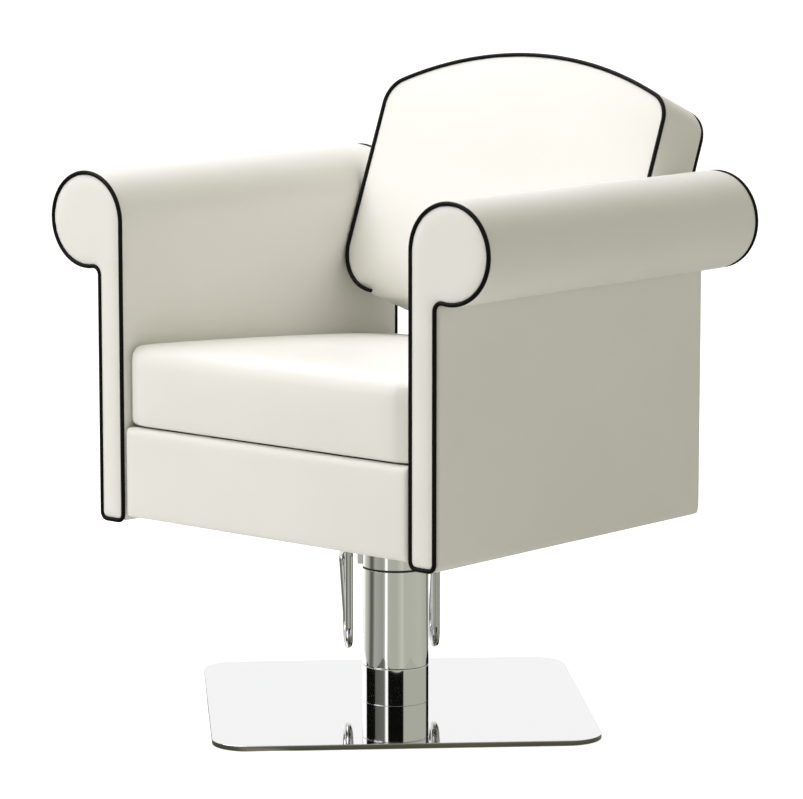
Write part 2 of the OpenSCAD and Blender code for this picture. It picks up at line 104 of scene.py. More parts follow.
def painted_reflection_strips(nodes, links, direction, stops):
    """Painted reflection for polished steel: upright dark, pale and bright strips by compass turn,
    in degrees from the camera's side, each with its tone."""
    parts = nodes.new("ShaderNodeSeparateXYZ")
    links.new(direction, parts.inputs[0])
    compass = nodes.new("ShaderNodeMath")
    compass.operation = "ARCTAN2"
    links.new(parts.outputs["X"], compass.inputs[0])
    flipped = nodes.new("ShaderNodeMath")
    flipped.operation = "MULTIPLY"
    flipped.inputs[1].default_value = -1
    links.new(parts.outputs["Y"], flipped.inputs[0])
    links.new(flipped.outputs[0], compass.inputs[1])
    whole = nodes.new("ShaderNodeMapRange")
    whole.inputs["From Min"].default_value = -math.pi
    whole.inputs["From Max"].default_value = math.pi
    links.new(compass.outputs[0], whole.inputs["Value"])
    strips = nodes.new("ShaderNodeValToRGB")
    ramp = strips.color_ramp
    for turn, tone in stops:
        step = ramp.elements.new(((turn + math.degrees(camera_turn) + 180) % 360) / 360)
        green, blue = (1.02, 0.88) if tone < 1 else (1, 1)
        step.color = (tone, tone * green, tone * blue, 1)
    ramp.elements.remove(ramp.elements[0])
    ramp.elements.remove(ramp.elements[len(ramp.elements) - 1])
    links.new(whole.outputs["Result"], strips.inputs["Fac"])
    return strips.outputs["Color"]


# Painted reflection on the floor, for glossy rays only: dark strips are painted shade, tones above 1
# painted highlights.
floor_painted_reflection = ((-140, 1.2), (-122, 0.63), (-104, 0.42), (-94, 0.12), (-84, 0.13), (-74, 0.42),
             (-44, 0.34), (-37, 0.50), (-34, 1.3), (-29, 1.3), (-26, 0.47), (4, 0.46), (22, 0.60),
             (30, 0.49), (90, 0.52), (126, 0.44), (136, 0.10), (146, 0.25), (156, 1.2))
bpy.ops.mesh.primitive_plane_add(size=40)
floor = bpy.context.object
floor.name = "floor"
floor_white, nodes, links, shader = blank_finish("floor_white", (0.93, 0.93, 0.92), 0.6)
shader.inputs["Specular IOR Level"].default_value = 0.1
shader.inputs["Emission Color"].default_value = (0.96, 0.97, 1, 1)
ray = nodes.new("ShaderNodeLightPath")
lifted = nodes.new("ShaderNodeMath")
lifted.operation = "MULTIPLY"
lifted.inputs[1].default_value = 0.8
links.new(ray.outputs["Is Camera Ray"], lifted.inputs[0])
links.new(lifted.outputs[0], shader.inputs["Emission Strength"])
place = nodes.new("ShaderNodeTexCoord")
# The floor glows with the painted reflection strips for glossy rays only.
mirrored = nodes.new("ShaderNodeEmission")
links.new(painted_reflection_strips(nodes, links, place.outputs["Object"], floor_painted_reflection), mirrored.inputs["Color"])
either = nodes.new("ShaderNodeMixShader")
links.new(ray.outputs["Is Glossy Ray"], either.inputs[0])
links.new(shader.outputs[0], either.inputs[1])
links.new(mirrored.outputs[0], either.inputs[2])
links.new(either.outputs[0], nodes["Material Output"].inputs["Surface"])
wear(floor, floor_white)

softbox("key_softbox", (-1.9, -3.6, 2.8), 2.6, 73, (0.97, 0.946, 1.0))
softbox("top_softbox", (-1.5, -0.1, 3.45), 2.4, 84, (0.96, 0.935, 1.0))

# Painted reflection in the surround, seen only by steel in the base plate's mirror: near-black strips
# are painted shade, tones above 1 painted highlights.
painted_world_reflection = ((-124, 1.3), (-121, 0.004), (-78, 0.004), (-74, 0.13), (-42, 0.16), (-37, 0.42),
             (-35, 1.3), (-28, 1.3), (-26, 0.004), (26, 0.004), (28, 0.5), (128, 0.5),
             (134, 0.004), (158, 0.004), (164, 1.3))
world = bpy.data.worlds.new("studio")
scene.world = world
world.use_nodes = True
nodes, links = world.node_tree.nodes, world.node_tree.links
back_light = nodes["Background"]
back_light.inputs["Strength"].default_value = 0.385
back_light.inputs["Color"].default_value = (0.96, 0.965, 0.76, 1)
white = nodes.new("ShaderNodeBackground")
white.inputs["Color"].default_value = (1, 1, 1, 1)
banded = nodes.new("ShaderNodeBackground")
direction = nodes.new("ShaderNodeTexCoord")
links.new(painted_reflection_strips(nodes, links, direction.outputs["Generated"], painted_world_reflection),
          banded.inputs["Color"])
# Steel seen in the base plate's mirror sees the painted reflection strips, dark with bright lines, and
# steel seen directly the white surround.
ray = nodes.new("ShaderNodeLightPath")
deep = nodes.new("ShaderNodeMath")
deep.operation = "GREATER_THAN"
deep.inputs[1].default_value = 1.5
links.new(ray.outputs["Glossy Depth"], deep.inputs[0])
polished = nodes.new("ShaderNodeMixShader")
links.new(deep.outputs[0], polished.inputs[0])
links.new(white.outputs[0], polished.inputs[1])
links.new(banded.outputs[0], polished.inputs[2])
glossy = nodes.new("ShaderNodeMixShader")
links.new(ray.outputs["Is Glossy Ray"], glossy.inputs[0])
links.new(back_light.outputs[0], glossy.inputs[1])
links.new(polished.outputs[0], glossy.inputs[2])
either = nodes.new("ShaderNodeMixShader")
links.new(ray.outputs["Is Camera Ray"], either.inputs[0])
links.new(glossy.outputs[0], either.inputs[1])
links.new(white.outputs[0], either.inputs[2])
links.new(either.outputs[0], nodes["World Output"].inputs["Surface"])
scene.view_settings.view_transform = "Standard"


# ---- Base plate ----
# One 540 mm square of thick steel with round corners, polished to a mirror on its faces and ground on
# its sides, its edges eased so that they catch a line of light. The sides' dark olive colour is a
# painted dark reflection.
def deselect():
    if bpy.context.object and bpy.context.object.mode == "EDIT":
        bpy.ops.object.mode_set(mode="OBJECT")
    bpy.ops.object.select_all(action="DESELECT")


def select_only(obj):
    deselect()
    obj.select_set(True)
    bpy.context.view_layer.objects.active = obj


def in_edit(obj, kind="VERT"):
    """Opens a piece for editing with nothing in it selected."""
    select_only(obj)
    bpy.ops.object.mode_set(mode="EDIT")
    bpy.ops.mesh.select_mode(type=kind)
    bpy.ops.mesh.select_all(action="DESELECT")
    bpy.ops.object.mode_set(mode="OBJECT")
    bpy.ops.object.mode_set(mode="EDIT")


def pick(obj, kind, wanted):
    """Selects the edges or polygons that wanted says yes to."""
    bpy.ops.object.mode_set(mode="OBJECT")
    for item in getattr(obj.data, kind):
        item.select = bool(wanted(item))
    bpy.ops.object.mode_set(mode="EDIT")


def edge_run(obj, edge):
    """How far an edge goes along x, y and z."""
    start, stop = (obj.data.vertices[v].co for v in edge.vertices)
    return [abs(a - b) for a, b in zip(start, stop)]


def settle(obj):
    """Moves the object's place, turn and size into its mesh."""
    select_only(obj)
    bpy.ops.object.transform_apply(location=True, rotation=True, scale=True)


def apply_all(obj):
    bpy.context.view_layer.objects.active = obj
    for modifier in list(obj.modifiers):
        bpy.ops.object.modifier_apply(modifier=modifier.name)


def smooth(obj, angle):
    """Smooth shading, but for edges sharper than the angle."""
    select_only(obj)
    bpy.ops.object.shade_smooth_by_angle(angle=math.radians(angle))


def stand_for(obj, body, slot, *nodes):
    """Names the body a piece moves with and hides the frame's pieces it stands for; slot, the finish, is
    not used.
    """
    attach(obj, body)
    if nodes:
        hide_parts(*nodes)


def pattern(nodes, links, kind, scale, detail=None, stretch=None):
    """A pattern on the piece's own coordinates, stretched if asked; returns its node."""
    place = nodes.new("ShaderNodeTexCoord")
    source = place.outputs["Object"]
    if stretch:
        mapping = nodes.new("ShaderNodeMapping")
        mapping.inputs["Scale"].default_value = stretch
        links.new(source, mapping.inputs["Vector"])
        source = mapping.outputs["Vector"]
    texture = nodes.new(kind)
    texture.inputs["Scale"].default_value = scale
    if detail is not None:
        texture.inputs["Detail"].default_value = detail
    links.new(source, texture.inputs["Vector"])
    return texture


def vary(nodes, links, source, low, high, socket):
    """Lets a pattern move a socket between two values."""
    spread = nodes.new("ShaderNodeMapRange")
    spread.inputs["To Min"].default_value = low
    spread.inputs["To Max"].default_value = high
    links.new(source, spread.inputs["Value"])
    links.new(spread.outputs["Result"], socket)


def polished(name, colour, roughness, scale, detail, low, high):
    """Bright metal with a faint haze that comes and goes."""
    material, nodes, links, shader = blank_finish(name, colour, roughness, 1.0)
    haze = pattern(nodes, links, "ShaderNodeTexNoise", scale, detail)
    vary(nodes, links, haze.outputs["Fac"], low, high, shader.inputs["Roughness"])
    return material


turned = Matrix.Rotation(math.radians(45), 4, "Z")
plate_side = 0.540
plate_corner = 0.050
plate_ease = 0.0009
plate_border = 0.0005
plate_low, plate_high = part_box("base_plate")
deselect()
bpy.ops.mesh.primitive_cube_add(size=1, location=(0, 0, (plate_low.z + plate_high.z) / 2))
base_plate = bpy.context.object
base_plate.name = "base_plate_polished"
base_plate.scale = (plate_side, plate_side, plate_high.z - plate_low.z)
settle(base_plate)
in_edit(base_plate, "EDGE")
pick(base_plate, "edges", lambda e: edge_run(base_plate, e)[2] > 0.001)
bpy.ops.mesh.bevel(offset=plate_corner, segments=20, affect="EDGES")
pick(base_plate, "edges", lambda e: edge_run(base_plate, e)[2] < 0.0001)
bpy.ops.mesh.bevel(offset=plate_ease, segments=3, affect="EDGES")
bpy.ops.mesh.select_mode(type="FACE")
pick(base_plate, "polygons", lambda f: abs(f.normal.z) > 0.9999 and f.area > 0.2)
bpy.ops.mesh.inset(thickness=plate_border)
deselect()
base_plate.data.transform(turned)
smooth(base_plate, 40)
wear(base_plate, polished("mirror_steel", (0.86, 0.86, 0.87), 0.03, 7, 5, 0.015, 0.06))
# Ground steel sides, darkened to olive: painted dark reflection.
ground_and_painted_dark_edge, _, _, _ = blank_finish("ground_and_painted_dark_edge", (0.14, 0.134, 0.10), 0.28, 1.0)
base_plate.data.materials.append(ground_and_painted_dark_edge)
for face in base_plate.data.polygons:
    if abs(face.normal.z) < 0.3:
        face.material_index = 1
stand_for(base_plate, "base", "mirror_steel", "base_plate")


# ---- Column ----
# Chromed steel tubes: a short collar on the plate, the sleeve that rises with the
# seat, a black ring, and the pump head above it.
def chrome_plate(name, colour):
    return polished(name, colour, 0.04, 22, 4, 0.02, 0.08)


def relief(nodes, links, height, strength, distance, under=None):
    """Raises a pattern as fine bump, over another bump if there is one; returns the normal."""
    bump = nodes.new("ShaderNodeBump")
    bump.inputs["Strength"].default_value = strength
    bump.inputs["Distance"].default_value = distance
    links.new(height, bump.inputs["Height"])
    if under is not None:
        links.new(under, bump.inputs["Normal"])
    return bump.outputs["Normal"]


def black_rubber():
    material, nodes, links, shader = blank_finish("black_rubber", (0.018, 0.018, 0.018), 0.62)
    skin = pattern(nodes, links, "ShaderNodeTexNoise", 900)
    links.new(relief(nodes, links, skin.outputs["Fac"], 0.3, 0.0002), shader.inputs["Normal"])
    return material


def spun_tube(name, profile):
    """A closed ring turned about the column's axis from (radius, height) points."""
    deselect()
    bpy.ops.mesh.primitive_circle_add(vertices=len(profile), radius=0.01)
    tube = bpy.context.object
    tube.name = name
    for vertex, (radius, height) in zip(tube.data.vertices, profile):
        vertex.co = (radius, 0, height)
    in_edit(tube)
    bpy.ops.mesh.select_all(action="SELECT")
    bpy.ops.mesh.spin(steps=128, angle=2 * math.pi, center=(0, 0, 0), axis=(0, 0, 1))
    bpy.ops.mesh.select_all(action="SELECT")
    bpy.ops.mesh.remove_doubles(threshold=0.00001)
    bpy.ops.mesh.normals_make_consistent(inside=False)
    deselect()
    smooth(tube, 40)
    return tube


def eased(inner, outer, low, high, ease):
    """Section of a tube wall with its outer rims rounded off."""
    turn = [math.radians(a) for a in (0, 22.5, 45, 67.5, 90)]
    top = [(outer - ease + ease * math.cos(a), high - ease + ease * math.sin(a)) for a in turn]
    foot = [(outer - ease + ease * math.sin(a), low + ease - ease * math.cos(a)) for a in turn]
    wall = [(outer, low + ease * 1.5), (outer, high - ease * 1.5)]
    return foot + wall + top + [(inner, high), (inner, low)]


chrome = chrome_plate("chrome", (0.84, 0.84, 0.83))
rubber = black_rubber()
tube_wall, tube_ease = 0.0017, 0.0006
for name, node, body in (("column_collar", "base_collar", "base"),
                         ("column_sleeve", "lift_sleeve", "lift")):
    low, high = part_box(node)
    tube = spun_tube(name, eased(high.x - tube_wall, high.x, low.z, high.z, tube_ease))
    wear(tube, chrome)
    stand_for(tube, body, "chrome", node)

ring_wall, ring_ease, ring_proud = 0.002, 0.0005, 0.0003
low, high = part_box("seam_ring")
ring = spun_tube("column_seam", eased(high.x - ring_wall, high.x + ring_proud, low.z, high.z, ring_ease))
wear(ring, rubber)
stand_for(ring, "lift", "black_rubber", "seam_ring")


# ---- Vinyl ----
# Smooth cream-white upholstery vinyl with a fine grain, a satin face and a faint
# unevenness where it is drawn over the foam.
def two_tone(nodes, links, source, shader, low, high):
    """Colours a piece between two (stop, colour) ends as the pattern goes from 0 to 1."""
    tones = nodes.new("ShaderNodeValToRGB")
    for end, (stop, colour) in zip(tones.color_ramp.elements, (low, high)):
        end.position = stop
        end.color = (*colour, 1)
    links.new(source, tones.inputs["Fac"])
    links.new(tones.outputs["Color"], shader.inputs["Base Color"])


def cream_vinyl():
    material, nodes, links, shader = blank_finish("cream_vinyl", (0.86, 0.84, 0.79), 0.42)
    patches = pattern(nodes, links, "ShaderNodeTexNoise", 5, 3)
    two_tone(nodes, links, patches.outputs["Fac"], shader,
             (0.3, (0.875, 0.862, 0.822)), (0.7, (0.90, 0.888, 0.85)))
    vary(nodes, links, patches.outputs["Fac"], 0.36, 0.48, shader.inputs["Roughness"])
    grain = pattern(nodes, links, "ShaderNodeTexVoronoi", 750)
    fine = relief(nodes, links, grain.outputs["Distance"], 0.12, 0.0002)
    sway = pattern(nodes, links, "ShaderNodeTexNoise", 11, 2)
    slack = relief(nodes, links, sway.outputs["Fac"], 0.35, 0.002, fine)
    links.new(slack, shader.inputs["Normal"])
    shader.inputs["Specular IOR Level"].default_value = 0.45
    return material


def black_piping():
    material, nodes, links, shader = blank_finish("black_piping", (0.002, 0.002, 0.002), 0.45)
    grain = pattern(nodes, links, "ShaderNodeTexVoronoi", 900)
    links.new(relief(nodes, links, grain.outputs["Distance"], 0.2, 0.0002), shader.inputs["Normal"])
    shader.inputs["Specular IOR Level"].default_value = 0.1
    return material


vinyl = cream_vinyl()
piping_vinyl = black_piping()


# ---- Seat cushion ----
# A loose foam slab in a sewn vinyl cover, lower at the back, crowned on top, with
# soft front corners. It drops in between the arms and lifts out by hand.
def drawn_face(name, outline, lift):
    """A closed loop of vertices laid on the outline; lift turns each (a, b) into a point."""
    deselect()
    bpy.ops.mesh.primitive_circle_add(vertices=len(outline), radius=0.1, fill_type="NGON")
    face = bpy.context.object
    face.name = name
    for vertex, point in zip(face.data.vertices, outline):
        vertex.co = lift(*point)
    return face


def push(face, along, steps=1):
    """Extrudes the whole face along a direction in equal steps and closes the back."""
    in_edit(face, "FACE")
    bpy.ops.mesh.select_all(action="SELECT")
    step = tuple(c / steps for c in along)
    for _ in range(steps):
        bpy.ops.mesh.extrude_region_move(TRANSFORM_OT_translate={"value": step})
    bpy.ops.mesh.select_all(action="SELECT")
    bpy.ops.mesh.normals_make_consistent(inside=False)
    deselect()


def arc(centre, radius, start, stop, steps):
    """Points round a centre, in degrees."""
    turns = [math.radians(start + (stop - start) * i / steps) for i in range(steps + 1)]
    return [(centre[0] + radius * math.cos(a), centre[1] + radius * math.sin(a)) for a in turns]


def remesh(piece, size):
    modifier = piece.modifiers.new("voxels", "REMESH")
    modifier.mode = "VOXEL"
    modifier.voxel_size = size
    apply_all(piece)


def refine(piece):
    """One finer level of mesh, smoothly shaded."""
    finer = piece.modifiers.new("finer", "SUBSURF")
    finer.levels = finer.render_levels = 1
    apply_all(piece)
    select_only(piece)
    bpy.ops.object.shade_smooth()


def fill_with_foam(piece, held, pressure, cap):
    """Swells the cover by cloth simulation; held gives how firmly a point stays put,
    and no point moves further than cap."""
    rest = [v.co.copy() for v in piece.data.vertices]
    group = piece.vertex_groups.new(name="held")
    for vertex in piece.data.vertices:
        weight = held(vertex.co)
        if weight > 0:
            group.add([vertex.index], weight, "REPLACE")
    cloth = piece.modifiers.new("cloth", "CLOTH")
    cloth.settings.quality = 6
    cloth.settings.mass = 0.4
    cloth.settings.tension_stiffness = 15
    cloth.settings.compression_stiffness = 15
    cloth.settings.shear_stiffness = 8
    cloth.settings.bending_stiffness = 2
    cloth.settings.use_pressure = True
    cloth.settings.uniform_pressure_force = pressure
    cloth.settings.vertex_group_mass = "held"
    cloth.settings.effector_weights.gravity = 0
    for frame_number in range(1, 21):
        scene.frame_set(frame_number)
    apply_all(piece)
    scene.frame_set(1)
    for vertex, start in zip(piece.data.vertices, rest):
        moved = vertex.co - start
        if moved.length > cap:
            vertex.co = start + moved * (cap / moved.length)
    piece.vertex_groups.clear()
    refine(piece)


cushion_low, cushion_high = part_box("seat_cushion")
crown = 0.010
front_top = cushion_high.z
rear_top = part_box("rear_apron")[1].z + 0.004
foot_round, top_round, rear_round = 0.010, 0.023, 0.016
side_gap = 0.004
corner_seam = 0.2475
side_view = (arc((cushion_low.y + foot_round, cushion_low.z + foot_round), foot_round, 270, 180, 4)
             + arc((cushion_low.y + top_round, front_top - top_round), top_round, 180, 95, 8)
             + arc((cushion_high.y - rear_round, rear_top - rear_round), rear_round, 85, 0, 5)
             + arc((cushion_high.y - foot_round, cushion_low.z + foot_round), foot_round, 0, -90, 4))
cushion = drawn_face("seat_cushion_cover", side_view, lambda y, z: (cushion_low.x + side_gap, y, z))
push(cushion, (cushion_high.x - cushion_low.x - 2 * side_gap, 0, 0))
remesh(cushion, 0.006)
for vertex in cushion.data.vertices:
    across = vertex.co.x / cushion_high.x
    along = (vertex.co.y - cushion_low.y) / (cushion_high.y - cushion_low.y)
    above = max(0, (vertex.co.z - cushion_low.z) / (rear_top - cushion_low.z))
    swell = (1 - across ** 4) * math.sin(math.pi * min(max(along, 0), 1)) ** 0.6
    vertex.co.z += crown * swell * min(above, 1) ** 2
    corner = max(0, abs(across) - 0.86) / 0.14
    if vertex.co.y < cushion_low.y + 0.06:
        vertex.co.y += 0.012 * corner ** 2 * (1 - (vertex.co.y - cushion_low.y) / 0.06)
    if vertex.co.y < cushion_low.y + 0.02:
        pucker = 0.75 + 0.25 * math.sin(vertex.co.z * 2 * math.pi / 0.013)
        vertex.co.y += 0.0022 * pucker * math.exp(-((abs(vertex.co.x) - corner_seam) / 0.004) ** 2)
fill_with_foam(cushion, lambda p: 1.0 if p.z < cushion_low.z + 0.012 else 0.15, 4.0, 0.006)
for vertex in cushion.data.vertices:
    vertex.co.x = max(cushion_low.x + 0.0003, min(cushion_high.x - 0.0003, vertex.co.x))
    vertex.co.z = max(cushion_low.z, vertex.co.z)
wear(cushion, vinyl)
stand_for(cushion, "seat", "cream_vinyl", "seat_cushion")


# ---- Aprons ----
# Padded boards that close the seat frame at the front and rear, wrapped in the
# same vinyl and screwed to the rails from inside.
board_corner = 0.008
board_swell = 0.0015
board_edge = 0.012


def rounded(low, high, corner, steps):
    """A rectangle from low to high, both (a, b), with round corners."""
    centres = ((high[0] - corner, high[1] - corner), (low[0] + corner, high[1] - corner),
               (low[0] + corner, low[1] + corner), (high[0] - corner, low[1] + corner))
    return [point for quarter, centre in enumerate(centres)
            for point in arc(centre, corner, 90 * quarter, 90 * quarter + 90, steps)]


def padded_board(name, node, outward):
    """A board with eased edges whose outer face swells; outward = -1 front, 1 rear."""
    low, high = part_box(node)
    deep = high.y - low.y
    face_y = low.y if outward < 0 else high.y
    outline = rounded((low.x, low.z), (high.x, high.z), board_corner, 8)
    board = drawn_face(name, outline, lambda x, z: (x, face_y, z))
    push(board, (0, -outward * deep, 0))
    remesh(board, 0.005)
    middle = (low + high) / 2
    half = (high - low) / 2
    for vertex in board.data.vertices:
        if (vertex.co.y - middle.y) * outward <= 0:
            continue
        gap = max(0, min(half.x - abs(vertex.co.x - middle.x),
                         half.z - abs(vertex.co.z - middle.z)))
        ease = min(1, gap / board_edge)
        drop = board_edge * 0.42 * (1 - math.sqrt(max(0, 1 - (1 - ease) ** 2)))
        vertex.co.y += outward * (board_swell * min(1, gap / 0.06) ** 0.5 * 0.5 - drop)
    refine(board)
    wear(board, vinyl)
    stand_for(board, "seat", "cream_vinyl", node)


padded_board("front_apron_cover", "front_apron", -1)
padded_board("rear_apron_cover", "rear_apron", 1)


# ---- Foot levers ----
# Two loops of 12 mm chromed rod hang from the cross shaft, one each side of the pump
# head: the right one pumps, the left one locks the swivel. Each is bent from one rod,
# its ends welded into a block on a bored hub.
rod_chrome = chrome_plate("rod_chrome", (0.56, 0.56, 0.54))
shaft_low, shaft_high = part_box("lever_shaft")
shaft_z = (shaft_low.z + shaft_high.z) / 2
shaft_y = 0.060
lever_x = 0.063
loop_z = 0.103
loop_radius = 0.032
rod_radius = 0.006
rod_joint = 0.0085
knee_out, knee_up = 0.0095, 0.083
hub_radius = 0.011
hub_length = 0.016
block_width, block_front, block_rise = 0.014, 0.008, 0.004
finger_size = (0.008, 0.015, 0.008)
finger_y = 0.0455


def straight(start, stop, steps):
    """Points in equal steps up to stop, without start."""
    return [tuple(a + (b - a) * i / steps for a, b in zip(start, stop)) for i in range(1, steps + 1)]


def rod_line(hand):
    """Middle of the rod, out of the hub, round the lower bend and back up."""
    far = shaft_y + 2 * loop_radius
    knee_radius = 0.014
    lean, close = 6.6, 62.1
    knee = (far + knee_out - knee_radius * math.cos(math.radians(lean)),
            loop_z + knee_up + knee_radius * math.sin(math.radians(lean)))
    turn = arc((shaft_y + loop_radius, loop_z), loop_radius, 180, 360, 40)
    up = arc(knee, knee_radius, -lean, close, 16)
    reach = (shaft_y + rod_joint * math.sin(math.radians(close)),
             shaft_z - rod_joint * math.cos(math.radians(close)))
    drop = loop_z - shaft_z + rod_joint
    near = [(shaft_y, shaft_z - rod_joint + drop * i / 20) for i in range(20)]
    line = near + turn + straight(turn[-1], up[0], 12)[:-1] + up + straight(up[-1], reach, 10)
    start = len(near) + len(turn)
    points = []
    for index, (y, z) in enumerate(line):
        leaving = min(1, max(0, (index - start) / 12))
        arriving = min(1, max(0, (len(line) - 1 - index) / 8))
        points.append((hand * (lever_x + 0.005 * leaving * arriving), y, z))
    return points


def swept(name, points, closed, radius, rounds):
    """A round rod or cord run along a line of points, closed on itself or with flat ends."""
    deselect()
    bpy.ops.mesh.primitive_circle_add(vertices=len(points), radius=0.1)
    rod = bpy.context.object
    rod.name = name
    for vertex, point in zip(rod.data.vertices, points):
        vertex.co = point
    if not closed:
        last = len(points) - 1
        in_edit(rod, "EDGE")
        pick(rod, "edges", lambda e: set(e.vertices) == {0, last})
        bpy.ops.mesh.delete(type="EDGE")
    select_only(rod)
    bpy.ops.object.convert(target="CURVE")
    rod.data.bevel_depth = radius
    rod.data.bevel_resolution = rounds
    rod.data.use_fill_caps = True
    bpy.ops.object.convert(target="MESH")
    return rod


def eased_block(place, size, ease, segments):
    """A block with its edges rounded off."""
    deselect()
    bpy.ops.mesh.primitive_cube_add(size=1, location=place)
    block = bpy.context.object
    block.scale = size
    settle(block)
    in_edit(block, "EDGE")
    bpy.ops.mesh.select_all(action="SELECT")
    bpy.ops.mesh.bevel(offset=ease, segments=segments, affect="EDGES")
    deselect()
    return block


def foot_lever(hand, name, node, block_y, block_low):
    """One lever, hand = 1 right, -1 left; its block reaches to block_y and down to block_low."""
    rod = swept(name, rod_line(hand), False, rod_radius, 10)
    deselect()
    bpy.ops.mesh.primitive_cylinder_add(vertices=64, radius=hub_radius, depth=hub_length,
                                        rotation=(0, math.pi / 2, 0),
                                        location=(hand * lever_x, shaft_y, shaft_z))
    hub = bpy.context.object
    settle(hub)
    in_edit(hub, "EDGE")
    pick(hub, "edges", lambda e: edge_run(hub, e)[0] < 1e-5)
    bpy.ops.mesh.bevel(offset=0.0008, segments=3, affect="EDGES")
    top = shaft_z + block_rise
    middle = (hand * lever_x, (shaft_y - block_front + block_y) / 2, (block_low + top) / 2)
    size = (block_width, block_y - shaft_y + block_front, top - block_low)
    parts = [rod, hub, eased_block(middle, size, 0.0012, 3)]
    if hand > 0:
        parts.append(eased_block((lever_x, finger_y, shaft_z), finger_size, 0.0008, 2))
    for part in parts:
        part.select_set(True)
    bpy.context.view_layer.objects.active = rod
    bpy.ops.object.join()
    rod.data.transform(turned)
    smooth(rod, 35)
    wear(rod, rod_chrome)
    stand_for(rod, node, "chrome", node)


foot_lever(1, "pump_lever_loop", "pump_lever", shaft_y + 0.008, shaft_z - 0.013)
foot_lever(-1, "lock_lever_loop", "lock_lever", shaft_y + 0.022, shaft_z - 0.021)


# ---- Arms ----
# Each arm is a hardwood panel with a round top, padded and wrapped: one vinyl wrap
# runs up the inner face and round the roll, a flat panel closes the outer side, and
# lollipop-shaped facings close both ends behind black piping.
arm_low, arm_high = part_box("arm_cover_right")
arm_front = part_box("front_piping_right")[0].y
arm_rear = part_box("rear_piping_right")[1].y
roll_radius = (arm_high.x - arm_low.x) / 2
roll_x = arm_low.x + roll_radius
roll_z = arm_high.z - roll_radius
panel_thick = 0.0474
panel_x = arm_low.x + panel_thick
neck_radius = 0.009
padding = 0.010
panel_deep = 0.012
panel_corner = 0.006
piping_radius = 0.0031
seam_depth = 0.0032


def arm_outline(inset):
    """The arm seen from the front, drawn in by inset."""
    radius = roll_radius - inset
    neck = neck_radius + inset
    low = 0.013 - min(inset, 0.009)
    outer, inner, foot = panel_x - inset, arm_low.x + inset, arm_low.z + inset
    neck_z = roll_z - math.sqrt((radius + neck) ** 2 - (roll_x - outer - neck) ** 2)
    turn = math.degrees(math.atan2(neck_z - roll_z, outer + neck - roll_x))
    flank = [(outer, neck_z + (foot + low - neck_z) * i / 12) for i in range(1, 12)]
    inside = [(inner, foot + low + (roll_z - foot - low) * i / 14) for i in range(1, 14)]
    return (arc((roll_x, roll_z), radius, 180, turn, 56)
            + arc((outer + neck, neck_z), neck, turn + 180, 180, 6) + flank
            + arc((outer - low, foot + low), low, 0, -90, 6)
            + arc((inner + low, foot + low), low, -90, -180, 6) + inside)


def seam_gap(outline):
    """A lookup of the distance from (a, b) to a closed outline."""
    stops = []
    for start, stop in zip(outline, outline[1:] + outline[:1]):
        count = max(1, round(math.dist(start, stop) / 0.001))
        stops += [tuple(p + (q - p) * i / count for p, q in zip(start, stop)) for i in range(count)]
    tree = kdtree.KDTree(len(stops))
    for index, (a, b) in enumerate(stops):
        tree.insert((a, b, 0), index)
    tree.balance()
    return lambda a, b: tree.find((a, b, 0))[2]


def piped(name, points, closed, node):
    """Black piping sewn in along a line of points."""
    run = swept(name, points, closed, piping_radius, 4)
    bpy.ops.object.shade_smooth()
    wear(run, piping_vinyl)
    stand_for(run, "seat", "black_piping", node)


def ripple(point, size, depth):
    """A slow unevenness of the padding under the cover."""
    return depth * noise.noise(Vector(point) * (1 / size))


def arm_wrap(side, name, node):
    """The vinyl up the inner face and over the roll, 10 mm thick with its foam, as far
    as the tuck's turn under the roll."""
    tuck = -111
    wall = [(arm_low.x, arm_low.z + 0.004 + (roll_z - arm_low.z - 0.004) * i / 18)
            for i in range(18)]
    back_wall = [(x + padding, z) for x, z in reversed(wall)]
    section = (wall + arc((roll_x, roll_z), roll_radius, 180, tuck, 64)
               + arc((roll_x, roll_z), roll_radius - padding, tuck, 180, 64) + back_wall)
    wrap = drawn_face(name, section, lambda x, z: (side * x, arm_low.y, z))
    push(wrap, (0, arm_high.y - arm_low.y, 0), 60)
    for vertex in wrap.data.vertices:
        x, y, z = abs(vertex.co.x), vertex.co.y, vertex.co.z
        from_roll = math.hypot(x - roll_x, z - roll_z)
        on_wall = z < roll_z and x < arm_low.x + padding * 0.5
        if not (on_wall or from_roll > roll_radius - padding * 0.5):
            continue
        out_x, out_z = (-1, 0) if on_wall else ((x - roll_x) / from_roll, (z - roll_z) / from_roll)
        end = min(y - arm_low.y, arm_high.y - y)
        ease = -0.0022 * max(0, 1 - end / 0.006) ** 2
        amount = ease + ripple((x, y, z), 0.12, 0.0008)
        vertex.co.x += side * out_x * amount
        vertex.co.z += out_z * amount
    smooth(wrap, 50)
    wear(wrap, vinyl)
    stand_for(wrap, "seat", "cream_vinyl", node)


def side_panel(side, name):
    """The padded panel on the arm's outer side, tucked up under the roll."""
    top = roll_z - math.sqrt(roll_radius ** 2 - (roll_x - panel_x) ** 2) - 0.002
    low, high = Vector((0, arm_low.y, arm_low.z + 0.001)), Vector((0, arm_high.y, top))
    outline = rounded((low.y, low.z), (high.y, high.z), panel_corner, 4)
    inner_x = panel_x - panel_deep
    panel = drawn_face(name, outline, lambda y, z: (side * inner_x, y, z))
    push(panel, (side * panel_deep, 0, 0))
    remesh(panel, 0.005)
    for vertex in panel.data.vertices:
        x, y, z = abs(vertex.co.x), vertex.co.y, vertex.co.z
        if x < panel_x - panel_deep / 2:
            continue
        gap = max(0, min(y - low.y, high.y - y, z - low.z, high.z - z))
        dip = 0.0035 * max(0, 1 - gap / 0.009) ** 2
        swell = 0.0022 * min(1, gap / 0.09) ** 0.8
        vertex.co.x += side * (swell - dip + ripple((x, y, z), 0.15, 0.0008))
    refine(panel)
    wear(panel, vinyl)
    stand_for(panel, "seat", "cream_vinyl")


